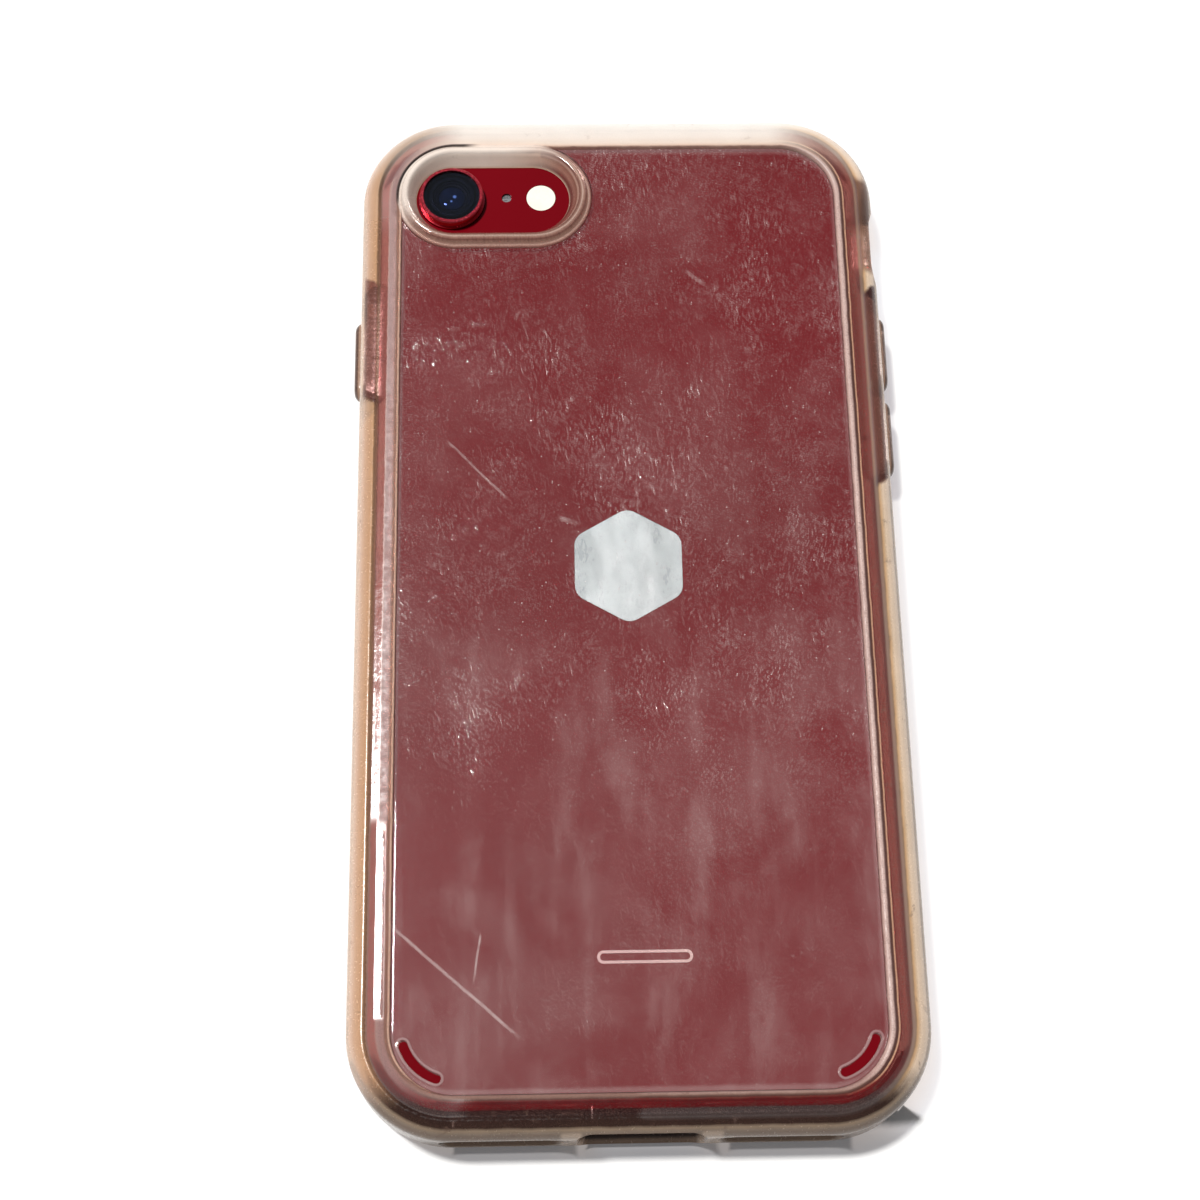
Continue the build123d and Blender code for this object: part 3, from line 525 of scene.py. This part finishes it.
def lens_core():
    # coated inner element: navy, with pale blue dots painted on as painted glints, standing in for reflections off the
    # elements behind it
    m, nt, b, out = mat("deep_lens_core")
    x, y, z = mm_xyz(nt)
    n = noise(nt, coords(nt), 500, 3, 0.5)
    painted_glints = None
    for dx, dy, r in ((0.42, 0.10, 0.34), (-0.05, -0.62, 0.22)):
        ax, ay = math_(nt, "SUBTRACT", x, -23.67 + dx), math_(nt, "SUBTRACT", y, 58.9 + dy)
        q = remap(nt, math_(nt, "SQRT", math_(nt, "ADD", math_(nt, "MULTIPLY", ax, ax), math_(nt, "MULTIPLY", ay, ay))), r * 0.3, r, 1.0, 0.0)
        painted_glints = q if painted_glints is None else math_(nt, "MAXIMUM", painted_glints, q)
    navy = mixc(nt, remap(nt, n, 0.35, 0.65, 0, 1), (0.001, 0.003, 0.008), (0.002, 0.006, 0.016))
    nt.links.new(mixc(nt, painted_glints, navy, (0.24, 0.38, 0.62)), b.inputs["Base Color"])
    nt.links.new(remap(nt, n, 0.3, 0.7, 0.02, 0.08), b.inputs["Roughness"])
    b.inputs["IOR"].default_value = 1.6
    b.inputs["Coat Weight"].default_value = 0.3
    b.inputs["Coat Roughness"].default_value = 0.02
    b.inputs["Specular Tint"].default_value = (0.4, 0.55, 1.0, 1)
    return m


LENS, CORE = lens_glass(), lens_core()


def give(obj, m):
    obj.data.materials.clear()
    obj.data.materials.append(m)


for n, m in {"phone_frame": BAND_SHADED, "sim_tray": BAND_SHADED, "side_button": BAND2, "volume_up_button": BAND2, "volume_down_button": BAND2,
             "ring_silent_switch": BAND2, "back_glass": RED, "display_glass": BLACKGLASS, "home_button": BLACKGLASS, "home_button_ring": STEEL,
             "camera_trim_ring": BAND2, "camera_lens_cover": LENS, "camera_module": LENSBLACK, "flash_lens": FLASH, "rear_microphone": STEEL,
             "back_emblem": FOIL, "back_mark": PRINT, "charging_port_shell": STEEL, "bottom_screws": STEEL, "speaker_mesh": GRILLE,
             "antenna_bands": ANT, "earpiece_mesh": GRILLE, "front_camera": BLACKGLASS, "display_module": BLACK, "battery": CELL,
             "logic_board": BOARD, "haptic_motor": STEEL, "speaker_module": BLACK}.items():
    give(N[n], m)

# ------------------------------------------------------------------ mesh helpers (mm in, metres out)
HX, HY, HR = 36.3, 71.95, 13.2


def rrect(hx, hy, r, narc=20, nx=48, ny=96, cx=0.0, cy=0.0):
    # counter-clockwise, the same number of points for every size
    r = max(r, 0.02)
    pts = []
    ax, ay = hx - r, hy - r
    for qx, qy, a0 in ((1, 1, 0), (-1, 1, 90), (-1, -1, 180), (1, -1, 270)):
        for i in range(narc + 1):
            a = math.radians(a0 + 90 * i / narc)
            pts.append((cx + qx * ax + r * math.cos(a), cy + qy * ay + r * math.sin(a)))
        nxt = {(1, 1): (-1, 1), (-1, 1): (-1, -1), (-1, -1): (1, -1), (1, -1): (1, 1)}[(qx, qy)]
        a = math.radians(a0 + 90)
        x0, y0 = cx + qx * ax + r * math.cos(a), cy + qy * ay + r * math.sin(a)
        x1, y1 = cx + nxt[0] * ax + r * math.cos(a), cy + nxt[1] * ay + r * math.sin(a)
        k = nx if abs(x1 - x0) > abs(y1 - y0) else ny
        if (qx, qy) in ((1, 1), (-1, -1)):
            k = nx
        else:
            k = ny
        for i in range(1, k):
            t = i / k
            pts.append((x0 + (x1 - x0) * t, y0 + (y1 - y0) * t))
    return pts


def stadium_pts(cx, cy, hx, hy, n=28):
    return rrect(hx, hy, min(hx, hy) - 1e-3, n, 16, 2, cx, cy)


def arc(cx, cz, r, a0, a1, n):
    return [(cx + r * math.cos(math.radians(a0 + (a1 - a0) * i / n)), cz + r * math.sin(math.radians(a0 + (a1 - a0) * i / n))) for i in range(n + 1)]


def new_obj(name, bm):
    me = bpy.data.meshes.new(name)
    bm.to_mesh(me)
    bm.free()
    o = bpy.data.objects.new(name, me)
    scene.collection.objects.link(o)
    return o


def loft(name, rings, closed=False, caps=True):
    # rings: lists of (x, y, z) mm with equal counts
    bm = bmesh.new()
    rows = [[bm.verts.new((x * MM, y * MM, z * MM)) for x, y, z in ring] for ring in rings]
    n = len(rows[0])
    pairs = list(zip(rows, rows[1:])) + ([(rows[-1], rows[0])] if closed else [])
    for a, b in pairs:
        for i in range(n):
            j = (i + 1) % n
            bm.faces.new((a[i], a[j], b[j], b[i]))
    if caps and not closed:
        bm.faces.new(rows[0][::-1])
        bm.faces.new(rows[-1])
    bmesh.ops.recalc_face_normals(bm, faces=bm.faces)
    return new_obj(name, bm)


def at_z(pts, z):
    return [(x, y, z) for x, y in pts]


def along_x(x, pts):  # pts are (y, z)
    return [(x, a, b) for a, b in pts]


def along_y(y, pts):  # pts are (x, z)
    return [(a, y, b) for a, b in pts]


def volume_and_box(me):
    bm = bmesh.new()
    bm.from_mesh(me)
    vol = bm.calc_volume()
    lo = [min(v.co[i] for v in bm.verts) for i in range(3)]
    hi = [max(v.co[i] for v in bm.verts) for i in range(3)]
    bm.free()
    return vol, lo, hi


def boolean(target, tool, op, keep=False):
    vol, lo, hi = volume_and_box(target.data)
    tvol, tlo, thi = volume_and_box(tool.data)
    for k in range(6):
        # a tool that meets the target edge on edge is nudged by a few microns
        tool.location = (k * 3e-6, k * 5e-6, k * 4e-6)
        md = target.modifiers.new("b", "BOOLEAN")
        md.operation = op
        md.solver = "EXACT"
        md.object = tool
        bpy.context.view_layer.update()
        dg = bpy.context.evaluated_depsgraph_get()
        me = bpy.data.meshes.new_from_object(target.evaluated_get(dg))
        target.modifiers.clear()
        ok = len(me.vertices) > 3
        if ok:
            v2, l2, h2 = volume_and_box(me)
            if op == "DIFFERENCE":
                ok = vol - tvol * 1.01 - 1e-12 <= v2 <= vol * 1.00001 and all(l2[i] >= lo[i] - 2e-6 and h2[i] <= hi[i] + 2e-6 for i in range(3))
            elif op == "UNION":
                ok = v2 >= max(vol, tvol) * 0.999
        if ok or k == 5:
            break
        bpy.data.meshes.remove(me)
    if not ok:
        print("boolean still off:", target.name, tool.name, op)
    old = target.data
    target.modifiers.clear()
    target.data = me
    bpy.data.meshes.remove(old)
    if not keep:
        bpy.data.objects.remove(tool)


def box_obj(x0, x1, y0, y1, z0, z1):
    return loft("box", [[(x0, y0, z), (x1, y0, z), (x1, y1, z), (x0, y1, z)] for z in (z0, z1)])


def smooth(o, angle=38.0):
    bm = bmesh.new()
    bm.from_mesh(o.data)
    bmesh.ops.remove_doubles(bm, verts=bm.verts, dist=2e-7)
    bmesh.ops.dissolve_degenerate(bm, edges=bm.edges, dist=1e-7)
    lim = math.radians(angle)
    for f in bm.faces:
        f.smooth = True
    for e in bm.edges:
        if len(e.link_faces) == 2:
            e.smooth = e.link_faces[0].normal.angle(e.link_faces[1].normal, 0) < lim
        else:
            e.smooth = False
    bm.to_mesh(o.data)
    bm.free()


# ------------------------------------------------------------------ soft frame with its lip: one moulding
Z0, Z1 = 1.35, 8.65           # phone faces
PFX = 33.65 - 3.2             # where the phone's edge rounding starts
prof = []                     # (d from the outer wall, z), once round the section
prof += [(4.30, 0.95), (4.30, 0.45), (4.22, 0.22), (4.05, 0.07), (3.8, 0.0), (3.0, 0.0)]
prof += [(2.2 - 2.2 * math.sin(math.radians(a)), 2.2 - 2.2 * math.cos(math.radians(a))) for a in range(0, 91, 9)]
prof += [(0.0, 3.2), (0.0, 4.2), (0.0, 5.2), (0.0, 6.2)]
prof += [(3.0 - 3.0 * math.cos(math.radians(a)), 7.2 + 3.0 * math.sin(math.radians(a))) for a in range(0, 73, 8)]
# shallow valley, then the crowned ridge beside the panel
prof += [(2.28, 10.06), (2.45, 10.02), (2.60, 9.97), (2.75, 9.95), (2.90, 9.97), (3.08, 9.99), (3.30, 10.03), (3.60, 10.085), (3.85, 10.127), (4.10, 10.163), (4.35, 10.190), (4.58, 10.198), (4.75, 10.198), (4.88, 10.18), (5.00, 10.13), (5.10, 10.05), (5.18, 9.95), (5.24, 9.82), (5.27, 9.70), (5.27, 9.45), (5.27, 9.20), (4.05, 9.20), (4.05, 8.26)]
a0 = math.degrees(math.acos((32.25 - PFX) / 3.28))
prof += [(HX - (PFX + 3.28 * math.cos(math.radians(a))), 5.45 + 3.28 * math.sin(math.radians(a))) for a in [a0 - 3 - (a0 - 3) * i / 9 for i in range(10)]]
prof += [(HX - 33.73, 5.0), (HX - 33.73, 4.55)]
a1 = math.degrees(math.asin((32.02 - PFX) / 3.28))
prof += [(HX - (PFX + 3.28 * math.cos(math.radians(a))), 4.55 - 3.28 * math.sin(math.radians(a))) for a in [(90 - a1) * i / 8 for i in range(1, 9)]]
NP = len(prof)


def wider(d, z):
    # the ridge is a little wider along the two long sides
    t = min(max((d - 3.0) / 2.2, 0.0), 1.0)
    return 0.4 * t * t * (3 - 2 * t) if z > 9.3 else 0.0


outline_rows = [rrect(HX - d - wider(d, z), HY - d, HR - d) for d, z in prof]
case_rings = [at_z(outline_rows[i], prof[i][1]) for i in range(NP)]
shell = loft("soft_frame", case_rings, closed=True)

# camera guard ring and corner web, one with the frame
RX, RY = -17.6, 58.9
ring_prof = [(-0.55, 9.62), (-0.42, 9.80), (-0.15, 9.88), (0.02, 10.02), (0.10, 10.35), (0.22, 10.68), (0.45, 10.90), (0.75, 11.0), (1.02, 10.96), (1.22, 10.80), (1.42, 10.50), (1.66, 10.10), (1.92, 9.65), (2.18, 9.22), (2.40, 8.90), (2.44, 8.80)]
rr_ = []
for d, z in ring_prof:
    t = min(max(d / 2.44, 0), 1)
    rr_.append(at_z(stadium_pts(RX - 0.23 * t, RY, 13.3 - d, 7.8 - d * (2.5 / 2.44)), z))
rr_.append(at_z(stadium_pts(RX, RY, 11.6, 6.1), 8.76))
rr_.append(at_z(stadium_pts(RX, RY, 13.0, 7.5), 8.76))
guard = loft("guard", rr_, closed=True)
# web: fills the area between the guard ring and the frame at the camera corner
web = loft("web", [at_z(rrect(HX - 5.0, HY - 5.0, HR - 5.0), z) for z in (8.78, 9.45)])
hole = loft("hole", [at_z(stadium_pts(RX, RY, 12.2, 6.7), z) for z in (8.0, 11.0)])
boolean(web, box_obj(-40, RX - 4.9, 55.9, 76, 8.0, 11.0), "INTERSECT")
web2 = loft("web2", [at_z(rrect(HX - 5.0, HY - 5.0, HR - 5.0), z) for z in (8.78, 9.45)])
boolean(web2, box_obj(-40, -10.9, 59.8, 76, 8.0, 11.0), "INTERSECT")
boolean(web, web2, "UNION")
boolean(web, hole, "DIFFERENCE")
boolean(guard, web, "UNION")
boolean(shell, guard, "UNION")


def pill(cy, cz, l, h, r=None, n=8):
    r = h / 2 - 1e-3 if r is None else r
    return rrect(l / 2, h / 2, r, n, 6, 3, cy, cz)


COVERS = {"side_button_cover": (-1, 35.08, 12.0, "side_cover"), "volume_up_cover": (1, 35.55, 11.5, "volume_up_cover"), "volume_down_cover": (1, 22.45, 11.5, "volume_down_cover")}
# button pockets, slanted at their ends as the wall thins
for s, y0, y1 in ((-1, 27.3, 45.8), (1, 14.9, 44.0)):
    secs = []
    for x, e in ((32.0, 0.0), (33.8, 0.0), (34.9, -1.2)):
        secs.append(along_x(s * x, pill((y0 + y1) / 2, 5.0, (y1 - y0) + 2 * e, 6.1 + 0.4 * e, 0.9)))
    boolean(shell, loft("pocket", secs), "DIFFERENCE")
for name, (s, y, l, body) in COVERS.items():
    secs = [along_x(s * x, pill(y, 5.0, l + 2 * e, 3.4 + 2 * e)) for x, e in ((34.0, 0.04), (35.9, 0.04), (36.15, 0.12), (36.32, 0.32), (38.0, 0.32))]
    boolean(shell, loft("window", secs), "DIFFERENCE")
# switch cut-out with its scoop
secs = [along_x(x, pill(y, z, l, h, r)) for x, y, z, l, h, r in ((33.0, 50.9, 5.1, 8.4, 4.4, 1.6), (34.75, 50.9, 5.2, 8.6, 4.7, 1.7), (35.1, 50.9, 5.4, 9.4, 5.8, 2.1), (35.45, 50.9, 5.6, 10.5, 7.2, 2.6), (35.85, 50.9, 5.7, 11.6, 8.3, 3.0), (36.25, 50.9, 5.75, 12.5, 9.0, 3.3), (37.5, 50.9, 5.8, 13.4, 9.6, 3.6))]
boolean(shell, loft("scoop", secs), "DIFFERENCE")
# port and sound notches in the bottom wall
secs = [along_y(-y, pill(0, z, l, h, r)) for y, z, l, h, r in ((66.0, 5.0, 14.7, 7.0, 1.5), (70.6, 5.0, 14.7, 7.0, 1.5), (71.3, 5.05, 15.0, 7.3, 1.6), (71.75, 5.1, 15.5, 7.8, 1.8), (72.1, 5.2, 16.3, 8.6, 2.1), (73.5, 5.2, 16.3, 8.6, 2.1))]
boolean(shell, loft("port", secs), "DIFFERENCE")
for s in (-1, 1):
    secs = [along_y(-y, pill(s * 17.22, 5.0, 14.95 + 2 * e, 4.4 + 2 * e, 2.0 + e)) for y, e in ((68.6, 0.0), (71.2, 0.0), (71.6, 0.08), (71.85, 0.25), (72.05, 0.5), (73.5, 0.5))]
    boolean(shell, loft("slot", secs), "DIFFERENCE")
smooth(shell, 40)
give(shell, TPU)
shell.data.materials.append(TPU_END)
for f in shell.data.polygons:
    f.material_index = 1 if f.center.y < -0.0675 else 0
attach(shell, "case")
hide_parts("bumper_frame", "front_lip")

# ------------------------------------------------------------------ hard panel
pprof = [(4.12, 8.77), (4.10, 8.80), (4.10, 9.10), (4.13, 9.14), (5.30, 9.14), (5.31, 9.20), (5.31, 9.60), (5.35, 9.70), (5.45, 9.74), (5.6, 9.75)]
prings = [at_z(rrect(HX - d - wider(d, z), HY - d, HR - d), z) for d, z in pprof]
panel = loft("clear_panel", prings)


def vent_outline(s, w, n=26, m=8):
    cx, cy, r = s * 22.8, -58.35, 6.65
    a_from, a_to = (199.0, 251.0) if s < 0 else (289.0, 341.0)
    pts = []
    for i in range(n + 1):
        a = math.radians(a_from + (a_to - a_from) * i / n)
        pts.append((cx + (r + w) * math.cos(a), cy + (r + w) * math.sin(a)))
    e = math.radians(a_to)
    ex, ey = cx + r * math.cos(e), cy + r * math.sin(e)
    for i in range(1, m):
        a = e + math.pi * i / m
        pts.append((ex + w * math.cos(a), ey + w * math.sin(a)))
    for i in range(n + 1):
        a = math.radians(a_to - (a_to - a_from) * i / n)
        pts.append((cx + (r - w) * math.cos(a), cy + (r - w) * math.sin(a)))
    e = math.radians(a_from)
    ex, ey = cx + r * math.cos(e), cy + r * math.sin(e)
    for i in range(1, m):
        a = e + math.pi + math.pi * i / m
        pts.append((ex + w * math.cos(a), ey + w * math.sin(a)))
    return pts


for s in (-1, 1):
    lip = loft("lip", [at_z(vent_outline(s, w), z) for w, z in ((0.98, 9.55), (0.98, 9.76), (0.94, 9.84), (0.86, 9.90), (0.76, 9.92))])
    boolean(panel, lip, "UNION")
    cut = loft("vent", [at_z(vent_outline(s, w), z) for w, z in ((0.575, 8.0), (0.575, 9.72), (0.62, 9.86), (0.70, 9.95), (0.70, 10.6))])
    boolean(panel, cut, "DIFFERENCE")
notch = loft("notch", [at_z(stadium_pts(RX, RY, 13.3 + 0.62, 7.8 + 0.62), z) for z in (8.0, 11.0)])
boolean(panel, notch, "DIFFERENCE")
boolean(panel, box_obj(-40, RX - 4.9, 56.0, 76, 8.0, 11.0), "DIFFERENCE")
boolean(panel, box_obj(-40, -11.0, 59.9, 76, 8.0, 11.0), "DIFFERENCE")
smooth(panel, 25)
give(panel, PANEL)
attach(panel, "case")
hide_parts("back_panel")

# ------------------------------------------------------------------ button covers
for name, (s, y, l, body) in COVERS.items():
    secs = []
    for x, dl, h in ((34.17, 0.6, 4.3), (34.80, 0.6, 4.3), (34.83, 0.5, 4.2), (34.85, -0.18, 3.22), (36.25, -0.18, 3.22), (36.55, -0.22, 3.18), (36.80, -0.55, 2.95), (37.02, -1.1, 2.5), (37.14, -1.55, 2.15), (37.19, -2.1, 1.7), (37.2, -2.9, 1.1)):
        secs.append(along_x(s * x, pill(y, 5.0, l + dl, h, h / 2 - 0.01 if h < 4 else 1.4)))
    o = loft(name + "_piece", secs)
    smooth(o, 30)
    give(o, TPU_COVER)
    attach(o, body)
    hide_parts(name)

# ------------------------------------------------------------------ camera optics
CX, CY = -23.67, 58.9


def turned(name, prof, n=64, cx=CX, cy=CY, closed=False):
    rings = [[(cx + r * math.cos(2 * math.pi * i / n), cy + r * math.sin(2 * math.pi * i / n), z) for i in range(n)] for r, z in prof]
    o = loft(name, rings, closed=closed)
    smooth(o, 30)
    return o


core = turned("camera_lens_core", [(1.9, 9.02), (1.9, 9.10)] + [(1.9 * math.cos(math.radians(a)), 9.10 + 0.38 * math.sin(math.radians(a))) for a in range(10, 90, 8)] + [(0.03, 9.48)])
give(core, CORE)
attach(core, "phone")
base = turned("camera_lens_step", [(3.9, 9.50), (4.10, 9.50), (4.10, 9.60), (3.2, 9.60), (3.0, 9.50), (2.75, 9.46), (2.6, 9.40), (2.4, 9.40), (2.25, 9.28), (1.95, 9.24), (1.95, 9.10)], closed=True)
give(base, LENSBLACK)
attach(base, "phone")

# ------------------------------------------------------------------ floor
bm = bmesh.new()
S = 3.0
vs = [bm.verts.new(p) for p in ((-S, -S, -2e-5), (S, -S, -2e-5), (S, S, -2e-5), (-S, S, -2e-5))]
bm.faces.new(vs)
floor = new_obj("floor", bm)
fm, fnt, fb, fo = mat("pale_floor")
fb.inputs["Base Color"].default_value = (0.93, 0.93, 0.93, 1)
fb.inputs["Roughness"].default_value = 0.8
fb.inputs["Specular IOR Level"].default_value = 0.1
give(floor, fm)
